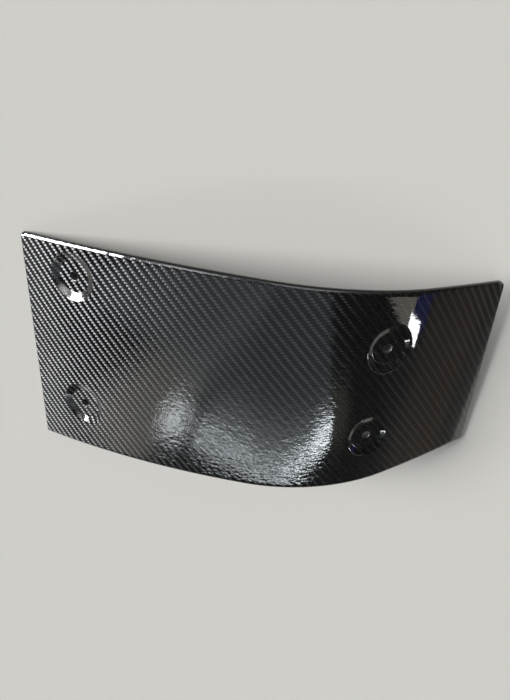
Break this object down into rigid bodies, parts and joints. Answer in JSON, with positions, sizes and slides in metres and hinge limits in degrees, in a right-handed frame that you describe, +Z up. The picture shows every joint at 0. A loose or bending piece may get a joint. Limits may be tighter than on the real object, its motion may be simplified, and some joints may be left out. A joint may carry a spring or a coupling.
{
  "type": "racing rear wing panel",
  "caption": "Arched carbon-fibre racing rear wing panel, tapering to one end, with dished bolt points for fixing it to its supports.",
  "frame": {"origin": "centre of the bounding box at its base, where the end edges rest on the table", "axes": "+X along the chord towards the tightly curved, narrower tail end; +Y across the panel towards the straight long edge; +Z up, out of the convex face"},
  "size_m": [0.3856, 0.1879, 0.067],
  "materials": {
    "twill_skin": "2x2 twill carbon under thick high-gloss clear coat",
    "back_skin": "2x2 twill carbon, semi-gloss bare resin",
    "core_mat": "resin-filled random fibre mat, matt",
    "hardpoint": "black glass laminate, matt"
  },
  "bodies": {
    "root": {"outer_skin": "twill_skin", "inner_skin": "back_skin", "core": "core_mat", "hardpoint_lead_left": "hardpoint", "hardpoint_lead_right": "hardpoint", "hardpoint_tail_left": "hardpoint", "hardpoint_tail_right": "hardpoint"}
  },
  "joints": []
}
